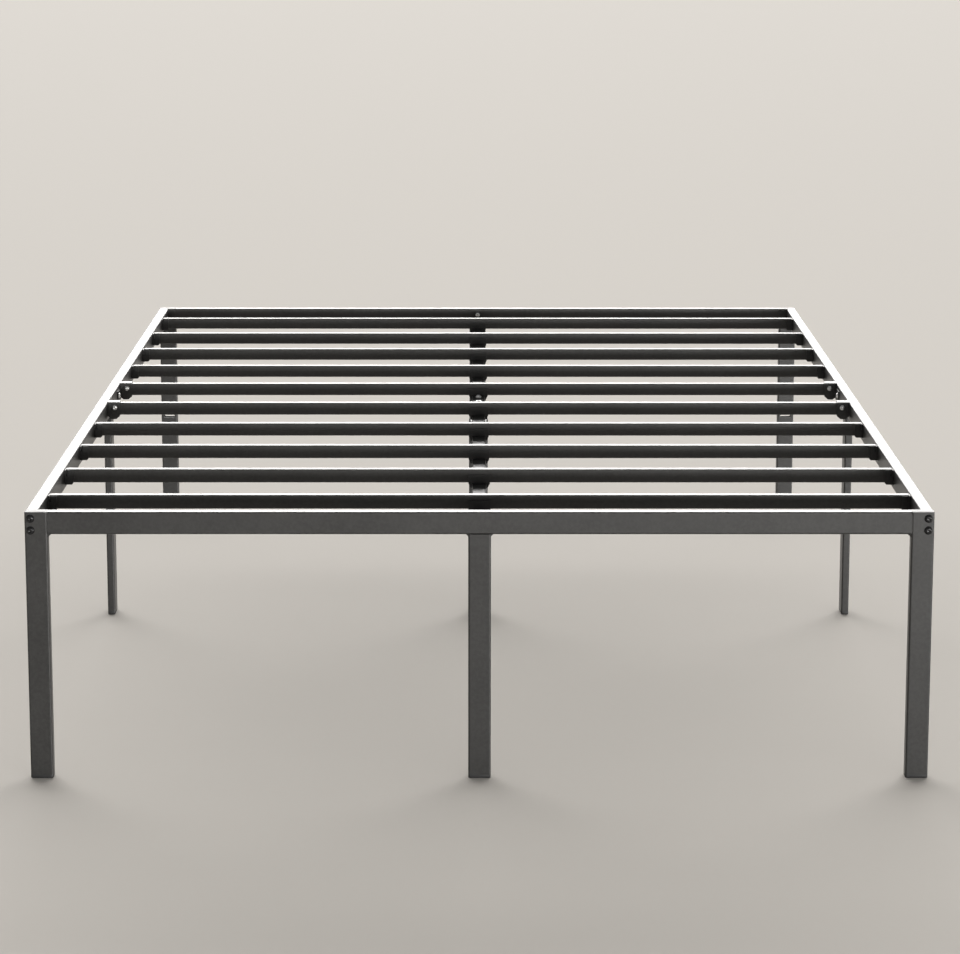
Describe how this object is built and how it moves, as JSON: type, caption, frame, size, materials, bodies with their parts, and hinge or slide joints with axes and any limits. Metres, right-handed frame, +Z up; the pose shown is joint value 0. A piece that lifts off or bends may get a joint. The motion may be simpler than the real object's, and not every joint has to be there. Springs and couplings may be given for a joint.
{
  "type": "bed frame",
  "caption": "Metal platform bed frame: welded end frames, bolted side rails with legs at mid-length, and slats over a centre beam with a middle leg.",
  "frame": {"origin": "on the floor under the middle of the bed", "axes": "+X across the bed to its right side as seen from the foot end, +Y along the bed towards the head end, +Z up"},
  "size_m": [1.51, 2.028, 0.46],
  "materials": {
    "powder_coat": "satin black powder coat with a fine texture",
    "black_bolts": "black coated steel",
    "zinc_hardware": "bright zinc plate",
    "black_plastic": "matte black moulded plastic"
  },
  "bodies": {
    "root": {"beam_bolts": "zinc_hardware", "beam_bracket_foot": "powder_coat", "beam_bracket_head": "powder_coat", "beam_channel": "powder_coat", "beam_nuts": "zinc_hardware", "beam_saddles": "black_plastic", "centre_beam_front": "powder_coat", "centre_beam_rear": "powder_coat", "centre_foot_cap": "black_plastic", "centre_leg": "powder_coat", "corner_bolts": "black_bolts", "end_bracket_bolts": "zinc_hardware", "end_foot_caps": "black_plastic", "foot_frame_welds": "powder_coat", "foot_leg_centre": "powder_coat", "foot_leg_left": "powder_coat", "foot_leg_right": "powder_coat", "foot_rail": "powder_coat", "head_frame_welds": "powder_coat", "head_leg_centre": "powder_coat", "head_leg_left": "powder_coat", "head_leg_right": "powder_coat", "head_rail": "powder_coat", "joint_bolts": "zinc_hardware", "joint_bracket_front_left": "powder_coat", "joint_bracket_front_right": "powder_coat", "joint_bracket_rear_left": "powder_coat", "joint_bracket_rear_right": "powder_coat", "joint_nuts": "zinc_hardware", "leg_top_plugs": "black_plastic", "middle_foot_caps": "black_plastic", "middle_leg_left": "powder_coat", "middle_leg_right": "powder_coat", "middle_leg_welds": "powder_coat", "middle_rail_left": "powder_coat", "middle_rail_right": "powder_coat", "nut_plates": "zinc_hardware", "rail_joiners": "zinc_hardware", "side_rail_front_left": "powder_coat", "side_rail_front_right": "powder_coat", "side_rail_rear_left": "powder_coat", "side_rail_rear_right": "powder_coat", "slat_01": "powder_coat", "slat_02": "powder_coat", "slat_03": "powder_coat", "slat_04": "powder_coat", "slat_05": "powder_coat", "slat_06": "powder_coat", "slat_07": "powder_coat", "slat_08": "powder_coat", "slat_09": "powder_coat", "slat_10": "powder_coat", "slat_holders_left": "black_plastic", "slat_holders_right": "black_plastic", "tail_screws": "zinc_hardware"}
  },
  "joints": []
}
